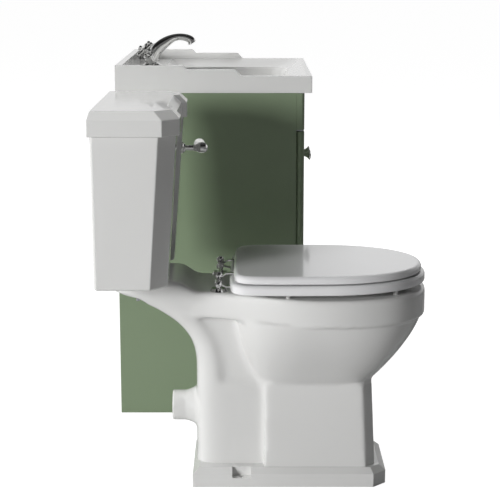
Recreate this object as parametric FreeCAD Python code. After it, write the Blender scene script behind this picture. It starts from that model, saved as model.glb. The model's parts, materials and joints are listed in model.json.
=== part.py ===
import FreeCAD
import Part
import math
import os

Vector = FreeCAD.Vector

# Driving sizes, in millimetres. +Z is up, the wall is at +Y and the front faces -Y.
# The toilet stands on the -X side and the vanity on the +X side, against one wall.

# The set
basin_w = 600.0
basin_d = 469.0
cistern_lid_w = 450.0
toilet_proj = 697.0
side_gap = 164.0

# Toilet pan
rim_z = 427.0
rim_h = 57.0
rim_hw = 180.0
rim_ease = 6.0
rim_wide_d = 465.0
rim_square = 2.5
bowl_inset = 6.0
rim_low_ease = 2.5
bowl_rear_d = 286.0
bowl_tuck = 22.0
deck_z = 451.0
deck_hw = 100.0
deck_back_d = 24.0
neck_low_z = 244.0
deck_low_z = 425.0
neck_sweep = 2.7
deck_step_d = 157.0
deck_step_run = 64.0
rim_back_d = 176.0
rim_tuck = 10.0
foot_h = 29.0
foot_rise = 11.0
foot_draw = 14.0
foot_side = 16.0
foot_back = 7.0
foot_step = 22.0
foot_chamfer = 28.0
column_hw = 94.0
column_draw = 10.0
column_back_d = 352.0
column_front_d = 592.0
column_lean = 9.0
column_top_z = 222.0
column_chamfer = 22.0
neck_hw = 72.0
neck_back_d = 205.0
scallop_depth = 8.0
spigot_r = 33.0
spigot_z = 150.0
spigot_len = 54.0
spigot_wall = 8.0
spigot_flare = 24.0
rim_w = 58.0
mouth_back_d = 338.0
rim_front_w = 35.0
sump_z = 165.0
well_hw = 42.0
well_wall = 131.0
foot_hole_r = 4.0
foot_hole_d = 303.0
foot_notch = 18.0
foot_notch_w = 40.0
notch_z = 20.0
spigot_bore = 60.0
flush_way = 4.0
scallop_run = 52.0
deck_t = 30.0

# Cistern
cistern_z = 453.0
cistern_top_z = 770.0
cistern_side = 7.0
cistern_draw = 22.0
cistern_back_d = 5.0
cistern_top_front_d = 174.0
cistern_lean = 22.0
cistern_chamfer = 34.0
cistern_wall = 10.0
cistern_round = 6.0
wall_hole_x = 120.0
wall_hole_drop = 45.0
wall_hole_r = 4.0
pilaster_w = 62.0
recess = 12.0
lid_front = 8.0
lid_band_h = 33.0
lid_bevel = 17.0
lid_lip = 10.0
lid_lip_gap = 3.0
lid_wall = 34.0
lid_roof = 4.0
lid_back_draw = 5.0

# Flush works
outlet_r = 24.0
outlet_d = 84.0
seal_r = 36.0
seal_h = 14.0
bolt_r = 4.0
bolt_x = 70.0
siphon_x = 66.0
siphon_top_z = 640.0
siphon_tail = 28.0
bell_r = 42.0
bell_h = 96.0
bell_lift = 16.0
tube_r = 20.0
valve_x = 150.0
valve_r = 12.0
valve_h = 200.0
inlet_r = 10.5
inlet_h = 45.0
inlet_nut_h = 10.0
float_r = 24.0
float_h = 60.0
float_z = 520.0
rod_x = 97.0
rod_r = 2.5
lever_x = 142.0
lever_z = 700.0
lever_reach = 45.0
lever_arm = 62.0
spindle_r = 6.2
rosette_r = 14.0
rosette_h = 8.0
grip_r = 13.0
link_pin_r = 2.0
lever_turn = 30.0

# Seat and lid
seat_inset = 2.0
seat_z = 438.0
seat_t = 20.0
seat_square = 2.15
seat_back_square = 8.5
seat_w = 66.0
seat_hole_back_d = 345.0
seat_front_w = 49.0
cover_inset = 8.0
cover_gap = 2.0
cover_t = 16.0
hinge_d = 255.0
hinge_z = 447.0
hinge_x = 80.0
hinge_rod_r = 4.0
hinge_barrel_r = 7.0
strap_w = 12.0
strap_t = 3.0
strap_len = 34.0
post_w = 17.0
post_stem_r = 6.0
finial_r = 8.2
post_base_r = 18.0
post_base_h = 6.0
finial_lift = 6.0
finial_gap = 2.3
stud_r = 4.0
stud_len = 34.0
buffer_r = 5.0
pad_side = 32.0
pad_back = 65.0
pad_front = 72.0

# Vanity cabinet
cabinet_h = 798.0
basin_side = 5.0
basin_front = 17.5
board = 18.0
door_gap = 1.5
door_t = 18.0
reveal = 4.0
fascia_h = 89.0
front_rail_h = 30.0
door_low_z = 62.0
stile_w = 60.0
panel_recess = 6.0
back_t = 8.0
back_set = 12.0
pipe_side = 110.0
pipe_low = 230.0
pipe_top = 130.0
hang_x = 180.0
hang_drop = 95.0
hang_r = 4.0
rail_h = 60.0
shelf_z = 300.0
shelf_pin_r = 2.5
shelf_pin_back = 80.0
shelf_pin_front = 92.0
pivot_r = 3.0
pivot_len = 14.0
plate_t = 2.0
knob_x = 33.0
knob_z = 613.0
knob_r = 13.5
knob_reach = 28.0

# Basin and waste
slab_h = 40.0
upstand = 25.0
upstand_t = 16.0
mid_step = 15.0
back_step_d = 166.0
back_step_run = 7.0
front_step_d = 294.0
front_step_run = 11.0
basin_round = 1.5
dish_depth = 17.0
dish_back_d = 106.0
dish_lip = 12.0
dish_corner = 14.0
bowl_side = 103.0
bowl_back_d = 140.0
bowl_front = 49.0
bowl_depth = 108.0
bowl_slope = 42.0
bowl_wall = 11.0
bowl_corner = 46.0
waste_r = 22.0
waste_flange_r = 33.0
waste_len = 75.0
plug_r = 28.0
overflow_r = 12.0
overflow_drop = 20.0
trap_r = 32.0
trap_h = 105.0
pipe_r = 16.0
pipe_end_d = 6.0

# Tap
tap_d = 68.0
tap_base_r = 24.0
tap_hub_z = 18.0
spout_rise = 75.5
spout_reach = 104.0
spout_base_r = 16.5
elbow_x = 27.0
valve_splay = 0.45
valve_lean = 0.4
valve_len = 28.0
valve_body_r = 10.5
cross_r = 21.0
arm_turn = 27.0
arm_r = 3.4
ball_r = 5.0
tail_r = 5.0
tail_x = 11.0
stud_x = 9.0

# Clearances
run = 0.05
gap = 0.4
loose = 1.0

# Places worked out from the sizes above
total_w = cistern_lid_w + side_gap + basin_w
toilet_x = -total_w / 2 + cistern_lid_w / 2
vanity_x = total_w / 2 - basin_w / 2
wall_y = toilet_proj / 2
rim_top_d = toilet_proj
mouth_hw = rim_hw - rim_w
mouth_front_d = toilet_proj - rim_front_w
foot_hw = column_hw + foot_side
foot_back_d = neck_back_d - foot_back
foot_front_d = column_front_d + foot_step
column_top_hw = column_hw - column_draw
column_top_front_d = column_front_d - column_lean
well_front_d = column_top_front_d - well_wall
spigot_end_d = neck_back_d - spigot_len
cistern_top_hw = cistern_lid_w / 2 - cistern_side
cistern_low_hw = cistern_top_hw - cistern_draw
cistern_low_front_d = cistern_top_front_d - cistern_lean
lid_front_d = cistern_top_front_d + lid_front
siphon_low_z = cistern_z - siphon_tail
seat_hw = rim_hw - seat_inset
seat_hole_hw = seat_hw - seat_w
seat_back_d = hinge_d + hinge_barrel_r + finial_lift + finial_r + finial_gap
seat_hole_front_d = toilet_proj - seat_front_w
seat_pads = ((seat_hw - pad_side, rim_wide_d - pad_back), (seat_hole_hw, toilet_proj - pad_front))
cover_pads = [(x - cover_inset, d - cover_inset / 2) for x, d in seat_pads]
cabinet_hw = basin_w / 2 - basin_side
door_front_d = basin_d - basin_front
door_back_d = door_front_d - door_t
carcass_d = door_back_d - door_gap
fascia_z = cabinet_h - fascia_h
bowl_low_z = cabinet_h + slab_h - bowl_depth
hang_z = cabinet_h - hang_drop
rim_level = cabinet_h + slab_h
bowl_top_z = rim_level - dish_depth
bowl_x = basin_w / 2 - bowl_side
bowl_front_d = basin_d - bowl_front
waste_d = (bowl_back_d + bowl_front_d) / 2
shank_r = inlet_r + 0.8
link_draw = (lever_x - rod_x) * (1 - math.cos(math.radians(lever_turn)))
link_travel = link_draw + link_pin_r + loose
UP = Vector(0, 0, 1)
DOWN = Vector(0, 0, -1)
RIGHT = Vector(1, 0, 0)
FRONT = Vector(0, -1, 0)
BACK = Vector(0, 1, 0)


def at(x0, x, d, z):
    """A point x to the side of a centre line, d in front of the wall and z above the floor."""
    return Vector(x0 + x, wall_y - d, z)


def block(x0, x_low, x_high, d_low, d_high, z_low, z_high):
    corner = at(x0, x_low, d_high, z_low)
    return Part.makeBox(x_high - x_low, d_high - d_low, z_high - z_low, corner)


def outline(x0, points, z):
    """A closed straight-sided wire in plan."""
    corners = [at(x0, x, d, z) for x, d in points]
    return Part.makePolygon(corners + corners[:1])


def slab(x0, points, z_low, z_high):
    face = Part.Face(outline(x0, points, z_low))
    return face.extrude(Vector(0, 0, z_high - z_low))


def tapered(x0, low, z_low, high, z_high):
    """A straight-sided solid between two plan outlines with the same corners."""
    return Part.makeLoft([outline(x0, low, z_low), outline(x0, high, z_high)], True, True)


def side_cut(x0, points, x_low, x_high):
    """A side profile of (d, z) corners, run across the width."""
    corners = [at(x0, x_low, d, z) for d, z in points]
    face = Part.Face(Part.makePolygon(corners + corners[:1]))
    return face.extrude(Vector(x_high - x_low, 0, 0))


def rod(start, way, radius, length):
    return Part.makeCylinder(radius, length, start, way)


def turned(start, way, points):
    """A profile of (radius, height) points turned about an axis."""
    corners = [Vector(r, 0, h) for r, h in points]
    face = Part.Face(Part.makePolygon(corners + corners[:1]))
    solid = face.revolve(Vector(0, 0, 0), UP, 360)
    solid.Placement = FreeCAD.Placement(start, FreeCAD.Rotation(UP, way))
    return solid


def oval(hw, d_wide, d_front, d_back, front_power, back_power, count=16):
    """Plan points of an egg shape; a higher power makes an end squarer."""
    points = []
    for i in range(count):
        turn = 2 * math.pi * i / count
        side = math.cos(turn)
        along = math.sin(turn)
        power = front_power if along > 0 else back_power
        x = hw * math.copysign(abs(side) ** (2 / power), side)
        reach = d_front - d_wide if along > 0 else d_wide - d_back
        d = d_wide + reach * math.copysign(abs(along) ** (2 / power), along)
        points.append((x, d))
    return points


def ring(x0, points, z):
    """A closed smooth wire in plan."""
    curve = Part.BSplineCurve()
    curve.interpolate(Points=[at(x0, x, d, z) for x, d in points], PeriodicFlag=True)
    return Part.Wire([curve.toShape()])


def smooth_loft(x0, sections):
    """A solid through smooth plan sections, each given as (z, points)."""
    return Part.makeLoft([ring(x0, points, z) for z, points in sections], True, False)


def smooth_slab(x0, points, z_low, z_high):
    face = Part.Face(ring(x0, points, z_low))
    return face.extrude(Vector(0, 0, z_high - z_low))


def joined(first, others):
    return first.multiFuse(others).removeSplitter()


def mirrored(shape, x0):
    return shape.mirror(Vector(x0, 0, 0), RIGHT)


def rounded(shape, radius, wanted):
    """Round the edges that the test picks."""
    return shape.makeFillet(radius, [edge for edge in shape.Edges if wanted(edge)])


def level(edge, z):
    box = edge.BoundBox
    return abs(box.ZMin - z) < 0.01 and abs(box.ZMax - z) < 0.01


def upright(edge):
    box = edge.BoundBox
    return box.XLength < 0.01 and box.YLength < 0.01


def save(name, *solids):
    shape = solids[0] if len(solids) == 1 else Part.makeCompound(list(solids))
    shape.exportStep("parts/" + name + ".step")


# Toilet pan


def foot_plan(draw):
    hw = foot_hw - draw
    front = foot_front_d - draw
    cut = foot_chamfer - draw * 0.6
    return [
        (-hw, foot_back_d + draw),
        (hw, foot_back_d + draw),
        (hw, front - cut),
        (hw - cut, front),
        (cut - hw, front),
        (-hw, front - cut),
    ]


def pan_foot():
    """An upright plinth with a sloping ledge on top."""
    plinth = slab(toilet_x, foot_plan(0), 0, foot_h)
    ledge = tapered(toilet_x, foot_plan(0), foot_h, foot_plan(foot_draw), foot_h + foot_rise)
    return plinth.fuse(ledge)


def column_plan(hw, front_d):
    return [
        (-hw, column_back_d),
        (hw, column_back_d),
        (hw, front_d - column_chamfer),
        (hw - column_chamfer, front_d),
        (column_chamfer - hw, front_d),
        (-hw, front_d - column_chamfer),
    ]


def pan_column():
    low = column_plan(column_hw, column_front_d)
    high = column_plan(column_top_hw, column_top_front_d)
    return tapered(toilet_x, low, foot_h, high, column_top_z)


def rim_wire(inset, z):
    """Round front, sides that draw in to the deck, and a straight back."""
    hw = rim_hw - inset
    front = rim_top_d - inset
    tail_hw = deck_hw - rim_tuck - inset
    steps = 4
    points = []
    for i in range(steps, 0, -1):
        draw = (1 - math.cos(math.pi * i / steps)) / 2
        d = rim_wide_d - (rim_wide_d - rim_back_d) * i / steps
        points.append((hw - (hw - tail_hw) * draw, d))
    for i in range(5):
        turn = math.pi * i / 8
        x = hw * abs(math.cos(turn)) ** (2 / rim_square)
        points.append((x, rim_wide_d + (front - rim_wide_d) * math.sin(turn) ** (2 / rim_square)))
    points += [(-x, d) for x, d in points[-2::-1]]
    curve = Part.BSplineCurve()
    corners = [at(toilet_x, x, d, z) for x, d in points]
    curve.interpolate(corners)
    return Part.Wire([curve.toShape(), Part.makeLine(corners[-1], corners[0])])


def pan_rim():
    """The rim band, with its top and bottom edges eased."""
    low = rim_z - rim_h
    wires = []
    for inset, lift in ((rim_low_ease, 0.0), (rim_low_ease * 0.3, rim_low_ease * 0.3), (0.0, rim_low_ease)):
        wires.append(rim_wire(inset, low + lift))
    for inset, drop in ((0.0, rim_ease), (rim_ease * 0.3, rim_ease * 0.3), (rim_ease, 0.0)):
        wires.append(rim_wire(inset, rim_z - drop))
    return Part.makeLoft(wires, True, True)


def pan_bowl():
    """The bowl draws in from the rim band to the head of the column."""
    top_z = rim_z - rim_h + 4
    drop = top_z - column_top_z
    top_hw = rim_hw - bowl_inset
    top_front = rim_top_d - bowl_inset
    top_back = bowl_rear_d
    steps = 6
    sections = []
    for i in range(steps + 1):
        down = 1.04 * (steps - i) / steps
        front = top_front + (column_top_front_d - top_front) * down ** 1.3
        hw = top_hw + (column_top_hw - top_hw) * down ** 1.6
        back = top_back + (column_back_d - bowl_tuck - top_back) * down ** 1.45
        points = oval(hw, rim_wide_d, front, back, rim_square + 1.1 * down, 3.0 + down)
        sections.append((top_z - drop * down, points))
    return smooth_loft(toilet_x, sections)


def neck_wire(hw, back, power, z):
    """Round back, straight sides and a straight front that is buried in the bowl."""
    middle = back + 2 * neck_hw * 0.6
    front = column_back_d + 40
    points = []
    for i in range(9):
        turn = math.pi * i / 8
        x = hw * math.copysign(abs(math.cos(turn)) ** (2 / power), math.cos(turn))
        points.append(at(toilet_x, x, middle - (middle - back) * math.sin(turn) ** (2 / power), z))
    curve = Part.BSplineCurve()
    curve.interpolate(points)
    right = at(toilet_x, hw, front, z)
    left = at(toilet_x, -hw, front, z)
    return Part.Wire([curve.toShape()] + Part.makePolygon([points[-1], left, right, points[0]]).Edges)


def pan_neck(thin=0.0):
    """The rear body: upright trap housing below, sweeping back into the deck above."""
    rise = deck_low_z - neck_low_z
    reach = neck_back_d - deck_back_d
    steps = 14
    wires = [neck_wire(neck_hw - thin, neck_back_d, 4.0, foot_h)]
    for i in range(steps + 1):
        share = i / steps
        hw = neck_hw + (deck_hw - neck_hw) * share ** 2
        back = neck_back_d - reach * share ** neck_sweep
        wires.append(neck_wire(hw - thin, back, 4.0, neck_low_z + rise * share))
    wires.append(neck_wire(deck_hw - thin, deck_back_d, 4.0, deck_z))
    return Part.makeLoft(wires, True, True)


def deck_slope():
    """Everything above the curve that drops from the deck to the rim."""
    start = at(toilet_x, -rim_hw, deck_step_d, deck_z)
    end = at(toilet_x, -rim_hw, deck_step_d + deck_step_run, rim_z)
    curve = Part.BezierCurve()
    half = deck_step_d + deck_step_run / 2
    curve.setPoles([start, at(toilet_x, -rim_hw, half, deck_z), at(toilet_x, -rim_hw, half, rim_z), end])
    far = rim_top_d + 10
    corners = [end, at(toilet_x, -rim_hw, far, rim_z), at(toilet_x, -rim_hw, far, deck_z + 10)]
    corners.append(at(toilet_x, -rim_hw, deck_step_d, deck_z + 10))
    corners.append(start)
    wire = Part.Wire([curve.toShape()] + Part.makePolygon(corners).Edges)
    return Part.Face(wire).extrude(Vector(2 * rim_hw, 0, 0))


def pan_cavity():
    """The inside of the bowl, from the mouth down to the water well."""
    depth = rim_z + 1 - sump_z
    steps = 5
    sections = []
    for i in range(steps + 1):
        down = (steps - i) / steps
        hw = mouth_hw + (well_hw - mouth_hw) * down ** 1.7
        front = mouth_front_d + (well_front_d - mouth_front_d) * down ** 1.5
        middle = (mouth_back_d + front) / 2
        sections.append((rim_z + 1 - depth * down, oval(hw, middle, front, mouth_back_d, 2.0, 2.4)))
    return smooth_loft(toilet_x, sections)


def neck_scallop():
    """The shallow hollow on one side of the neck, with a curved back edge."""
    top = rim_z - rim_h + scallop_depth
    low = column_top_z
    x = neck_hw / 2
    back = neck_back_d + scallop_run
    front = column_back_d
    curve = Part.BezierCurve()
    upper = (neck_back_d + scallop_run * 0.6, (top * 2 + low) / 3)
    poles = [(neck_back_d, top), upper, (back, (top + low) / 2), (back, low)]
    curve.setPoles([at(toilet_x, x, d, z) for d, z in poles])
    rest = [(back, low), (front, low), (front, top), (neck_back_d, top)]
    corners = [at(toilet_x, x, d, z) for d, z in rest]
    face = Part.Face(Part.Wire([curve.toShape()] + Part.makePolygon(corners).Edges))
    return face.extrude(Vector(deck_hw, 0, 0)).cut(pan_neck(scallop_depth))


def toilet_pan():
    spigot_end = at(toilet_x, 0, spigot_end_d, spigot_z)
    spigot = rod(spigot_end, FRONT, spigot_r, neck_back_d - spigot_end_d + spigot_bore)
    flare_at = at(toilet_x, 0, neck_back_d - spigot_flare, spigot_z)
    flare = Part.makeCone(spigot_r, spigot_r + spigot_flare / 2, spigot_flare + spigot_wall, flare_at, FRONT)
    scallop = neck_scallop()
    neck = pan_neck().cut([scallop, mirrored(scallop, toilet_x)])
    pan = neck
    for piece in (pan_bowl(), pan_rim(), pan_column(), pan_foot(), spigot, flare):
        pan = pan.fuse(piece)
    pan = pan.cut(deck_slope())
    cuts = [pan_cavity()]
    cuts.append(rod(spigot_end, FRONT, spigot_r - spigot_wall, spigot_bore))
    outlet = at(toilet_x, 0, outlet_d, deck_z)
    cuts.append(rod(outlet, DOWN, seal_r + gap, seal_h - cistern_z + deck_z))
    cuts.append(rod(outlet, DOWN, outlet_r + loose, deck_z - siphon_low_z + flush_way))
    for side in (-1, 1):
        bolt_at = at(toilet_x, side * bolt_x, outlet_d, deck_z)
        cuts.append(rod(bolt_at, DOWN, bolt_r + loose, deck_t + loose))
        cuts.append(rod(bolt_at + DOWN * deck_t, DOWN, bolt_r * 3, deck_z - rim_z + rim_h))
        cuts.append(rod(at(toilet_x, side * hinge_x, hinge_d, rim_z), DOWN, stud_r + gap, stud_len + loose))
        x_low = foot_hw - foot_notch if side > 0 else -foot_hw - loose
        x_high = x_low + foot_notch + loose
        d_low = foot_hole_d - foot_notch_w / 2
        d_high = foot_hole_d + foot_notch_w / 2
        cuts.append(block(toilet_x, x_low, x_high, d_low, d_high, notch_z, foot_h + foot_rise + loose))
        cuts.append(rod(foot_hole_at(side), UP, foot_hole_r, foot_h))
    return pan.cut(cuts)


def foot_hole_at(side):
    return at(toilet_x, side * (foot_hw - foot_notch / 2), foot_hole_d, 0)


# Cistern


def cistern_plan(hw, front_d, inset=0.0):
    """Square back, chamfered front corners and a recess between two pilasters."""
    hw = hw - inset
    front = front_d - inset
    back = cistern_back_d + inset
    cut = cistern_chamfer - inset * 0.6
    inner = hw - cut - pilaster_w + inset
    return [
        (-hw, back),
        (hw, back),
        (hw, front - cut),
        (hw - cut, front),
        (inner, front),
        (inner - recess, front - recess),
        (recess - inner, front - recess),
        (-inner, front),
        (cut - hw, front),
        (-hw, front - cut),
    ]


def cistern_front(z):
    """How far the tapered front stands from the wall at a height."""
    share = (z - cistern_z) / (cistern_top_z - cistern_z)
    return cistern_low_front_d + (cistern_top_front_d - cistern_low_front_d) * share


def cistern_shell():
    low = cistern_plan(cistern_low_hw, cistern_low_front_d)
    high = cistern_plan(cistern_top_hw, cistern_top_front_d)
    return tapered(toilet_x, low, cistern_z, high, cistern_top_z)


def cistern_body():
    shell = cistern_shell()
    shell = rounded(shell, cistern_round, cistern_edge)
    floor_z = cistern_z + cistern_wall
    share = cistern_wall / (cistern_top_z - cistern_z)
    low_hw = cistern_low_hw + (cistern_top_hw - cistern_low_hw) * share
    low = cistern_plan(low_hw, cistern_front(floor_z), cistern_wall)
    high = cistern_plan(cistern_top_hw, cistern_top_front_d, cistern_wall)
    cuts = [tapered(toilet_x, low, floor_z, high, cistern_top_z)]
    cuts.append(rod(at(toilet_x, 0, outlet_d, cistern_z), UP, outlet_r + loose, cistern_wall))
    cuts.append(rod(at(toilet_x, valve_x, outlet_d, cistern_z), UP, shank_r + loose, cistern_wall))
    cuts.append(rod(at(toilet_x, lever_x, outlet_d, lever_z), FRONT, spindle_r + 3, lid_front_d - outlet_d))
    for side in (-1, 1):
        cuts.append(rod(at(toilet_x, side * bolt_x, outlet_d, cistern_z), UP, bolt_r + loose, cistern_wall))
        hole_at = at(toilet_x, side * wall_hole_x, 0, cistern_top_z - wall_hole_drop)
        cuts.append(rod(hole_at, FRONT, wall_hole_r, cistern_back_d + 2 * cistern_wall))
    return shell.cut(cuts)


def cistern_edge(edge):
    """The upright corners and the edges round the bottom."""
    return level(edge, cistern_z) or edge.BoundBox.ZLength > cistern_chamfer


def lid_plan(inset, back_inset):
    hw = cistern_lid_w / 2 - inset
    front = lid_front_d - inset
    back = back_inset
    cut = cistern_chamfer
    inner = hw - cut - pilaster_w + inset
    return [
        (-hw, back),
        (hw, back),
        (hw, front - cut),
        (hw - cut, front),
        (inner, front),
        (inner - recess, front - recess),
        (recess - inner, front - recess),
        (-inner, front),
        (cut - hw, front),
        (-hw, front - cut),
    ]


def cistern_lid():
    band_top = cistern_top_z + lid_band_h
    band = slab(toilet_x, lid_plan(0, 0), cistern_top_z, band_top)
    top_plan = lid_plan(lid_bevel, lid_back_draw)
    bevel = tapered(toilet_x, lid_plan(0, 0), band_top, top_plan, band_top + lid_bevel)
    hollow_hw = cistern_top_hw - lid_wall
    hollow_front = cistern_top_front_d - lid_wall
    low = cistern_top_z - lid_lip
    hollow = block(toilet_x, -hollow_hw, hollow_hw, lid_wall, hollow_front, low, band_top - lid_roof)
    lip_plan = cistern_plan(cistern_top_hw, cistern_top_front_d, cistern_wall + lid_lip_gap)
    lip = slab(toilet_x, lip_plan, cistern_top_z - lid_lip, cistern_top_z)
    return joined(band, [bevel, lip]).cut(hollow)


def flush_seal():
    seal = rod(at(toilet_x, 0, outlet_d, cistern_z - seal_h), UP, seal_r, seal_h)
    return seal.cut(rod(at(toilet_x, 0, outlet_d, cistern_z - seal_h), UP, outlet_r + loose, seal_h))


def coupling_bolts():
    """Bolts, rubber washers and nuts at each side of the flush outlet."""
    bolts = []
    washers = []
    nuts = []
    washer_t = 3.0
    nut_t = 9.0
    head_z = cistern_z + cistern_wall + washer_t
    pad_t = cistern_z - deck_z
    for side in (-1, 1):
        base = at(toilet_x, side * bolt_x, outlet_d, head_z)
        shank = rod(base, DOWN, bolt_r, head_z - deck_z + deck_t + 2 * nut_t)
        bolts.append(shank.fuse(rod(base, UP, bolt_r * 2, bolt_r)))
        washers.append(rod(base, DOWN, bolt_r * 2.4, washer_t).cut(shank))
        seat = at(toilet_x, side * bolt_x, outlet_d, deck_z - deck_t)
        nuts.append(rod(seat, DOWN, bolt_r * 1.9, nut_t).cut(shank))
        spacer = at(toilet_x, side * bolt_x, outlet_d, cistern_z)
        washers.append(rod(spacer, DOWN, bolt_r * 2, pad_t).cut(shank))
    return bolts, washers, nuts


def flush_siphon():
    """Bell, riser and over-bend into the outlet leg."""
    floor_z = cistern_z + cistern_wall
    bell_z = floor_z + bell_lift
    bell = rod(at(toilet_x, siphon_x, outlet_d, bell_z), UP, bell_r, bell_h)
    riser = rod(at(toilet_x, siphon_x, outlet_d, bell_z + bell_h), UP, tube_r, siphon_top_z - bell_z - bell_h)
    bend = Part.makeTorus(siphon_x / 2, tube_r, at(toilet_x, siphon_x / 2, outlet_d, siphon_top_z), FRONT)
    bend = bend.common(block(toilet_x, -90, 200, 0, 200, siphon_top_z, siphon_top_z + 100))
    leg = rod(at(toilet_x, 0, outlet_d, floor_z), UP, tube_r, siphon_top_z - floor_z)
    flange = rod(at(toilet_x, 0, outlet_d, floor_z), UP, outlet_r + 9, 6)
    tail = rod(at(toilet_x, 0, outlet_d, siphon_low_z), UP, outlet_r, siphon_tail + cistern_wall)
    body = joined(leg, [flange, tail, bend, riser, bell])
    bore = rod(at(toilet_x, 0, outlet_d, siphon_low_z), UP, outlet_r - 5, siphon_tail)
    guide = rod(at(toilet_x, rod_x, outlet_d, bell_z), UP, rod_r + run, bell_h)
    return body.cut([bore, guide])


def lift_rod():
    """Piston rod with a slotted eye that the inner lever arm lifts."""
    bell_top = cistern_z + cistern_wall + bell_lift + bell_h
    low = bell_top - 60
    slot_hw = link_travel
    slot_h = link_pin_r + 1.5
    eye_hw = slot_hw + 8
    eye_h = slot_h + 6
    stem = rod(at(toilet_x, rod_x, outlet_d, low), UP, rod_r, lever_z - slot_h - 2 - low)
    plate = (outlet_d - 2, outlet_d + 2)
    eye = block(toilet_x, rod_x - eye_hw, rod_x + eye_hw, *plate, lever_z - eye_h, lever_z + eye_h)
    slot = block(toilet_x, rod_x - slot_hw, rod_x + slot_hw, *plate, lever_z - slot_h, lever_z + slot_h)
    return stem.fuse(eye).cut(slot)


def fill_valve():
    """Valve column with its inlet tail and the collar that the float rests on when empty."""
    floor_z = cistern_z + cistern_wall
    base = at(toilet_x, valve_x, outlet_d, floor_z)
    points = [
        (0, 0),
        (valve_r + 8, 0),
        (valve_r + 8, 6),
        (valve_r, 6),
        (valve_r, valve_h - 30),
        (valve_r + 8, valve_h - 24),
        (valve_r + 8, valve_h),
        (0, valve_h),
    ]
    column = turned(base, UP, points)
    tail = rod(at(toilet_x, valve_x, outlet_d, cistern_z - inlet_h), UP, inlet_r, inlet_h)
    shank_at = at(toilet_x, valve_x, outlet_d, cistern_z - inlet_nut_h)
    shank = rod(shank_at, UP, shank_r, inlet_nut_h + cistern_wall)
    stop = rod(at(toilet_x, valve_x, outlet_d, float_z - 6), UP, valve_r + 5, 6)
    return joined(column, [tail, shank, stop])


def inlet_nut():
    seat = at(toilet_x, valve_x, outlet_d, cistern_z)
    nut = rod(seat, DOWN, shank_r + 6, inlet_nut_h)
    return nut.cut(rod(seat, DOWN, shank_r, inlet_nut_h))


def float_cup():
    base = at(toilet_x, valve_x, outlet_d, float_z)
    cup = rod(base, UP, float_r, float_h)
    return cup.cut(rod(base, UP, valve_r + run, float_h))


# Flush lever


def lever_rosette():
    face_d = cistern_front(lever_z)
    points = [
        (spindle_r + run, -6),
        (rosette_r, -6),
        (rosette_r, 3),
        (rosette_r - 3, 5),
        (spindle_r + 3, rosette_h),
        (spindle_r + run, rosette_h),
    ]
    return turned(at(toilet_x, lever_x, face_d, lever_z), FRONT, points).cut(cistern_shell())


def lever_bush():
    """Threaded bush through the china, with its nut behind."""
    face_d = cistern_front(lever_z)
    inner_d = face_d - cistern_wall - 2
    bush = rod(at(toilet_x, lever_x, inner_d - 10, lever_z), FRONT, spindle_r + 2.5, cistern_wall + 10)
    nut = rod(at(toilet_x, lever_x, inner_d - 10, lever_z), FRONT, spindle_r + 7, 9)
    return bush.fuse(nut).cut(rod(at(toilet_x, lever_x, 60, lever_z), FRONT, spindle_r + run, 150))


def lever_spindle():
    front_d = cistern_front(lever_z) + lever_reach
    back_d = outlet_d + 7
    return rod(at(toilet_x, lever_x, back_d, lever_z), FRONT, spindle_r, front_d - back_d)


def flush_lever():
    """Round hub on the spindle with a tapered arm to the grip."""
    hub_d = cistern_front(lever_z) + lever_reach
    points = [
        (0, 13),
        (6, 12.5),
        (10.5, 9),
        (12.6, 4),
        (12.6, -3),
        (10.5, -9),
        (8.5, -13),
        (spindle_r + 1.2, -19),
        (spindle_r, -19),
        (spindle_r, 0),
        (0, 0),
    ]
    hub = turned(at(toilet_x, lever_x, hub_d, lever_z), FRONT, points)
    arm = Part.makeCone(5.5, 4.5, lever_arm - grip_r + 6, at(toilet_x, lever_x, hub_d - 8, lever_z), RIGHT)
    return hub.fuse(arm.cut(rod(at(toilet_x, lever_x, hub_d - 30, lever_z), FRONT, 9, 30)))


def lever_grip():
    hub_d = cistern_front(lever_z) + lever_reach
    grip = Part.makeSphere(grip_r, at(toilet_x, lever_x + lever_arm, hub_d - 8, lever_z))
    return grip.cut(flush_lever())


def inner_arm():
    """Arm inside the cistern: rises as the grip is pressed, and carries the lift pin."""
    back_d = outlet_d + 7
    reach = lever_x - rod_x
    bar = block(toilet_x, lever_x - reach - 5, lever_x + 10, back_d - 4, back_d, lever_z - 6, lever_z + 6)
    pin = rod(at(toilet_x, lever_x - reach, outlet_d - 5, lever_z), FRONT, link_pin_r, back_d - outlet_d + 1)
    return bar.fuse(pin)


# Seat


def seat_plan(inset):
    back = seat_back_d + inset
    front = toilet_proj - inset
    return oval(seat_hw - inset, rim_wide_d, front, back, seat_square, seat_back_square, 32)


def strap_pocket(x, z_low, z_high):
    return block(toilet_x, x - strap_w / 2, x + strap_w / 2, 0, hinge_d + strap_len + 24, z_low, z_high)


def seat_strap_x():
    return hinge_x + post_w / 2 + gap + strap_w / 2


def cover_strap_x():
    return hinge_x - post_w / 2 - gap - strap_w / 2


def toilet_seat():
    seat = smooth_slab(toilet_x, seat_plan(0), seat_z, seat_z + seat_t)
    seat = rounded(seat, 7.0, lambda edge: level(edge, seat_z + seat_t))
    seat = rounded(seat, 4.0, lambda edge: level(edge, seat_z))
    middle = (seat_hole_back_d + seat_hole_front_d) / 2
    hole_plan = oval(seat_hole_hw, middle, seat_hole_front_d, seat_hole_back_d, 2.1, 2.3)
    hole = smooth_slab(toilet_x, hole_plan, seat_z - 1, seat_z + seat_t + 1)
    seat = seat.cut(hole)
    pockets = [strap_pocket(side * seat_strap_x(), seat_z - 1, seat_z + strap_t) for side in (-1, 1)]
    return seat.cut(pockets)


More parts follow.
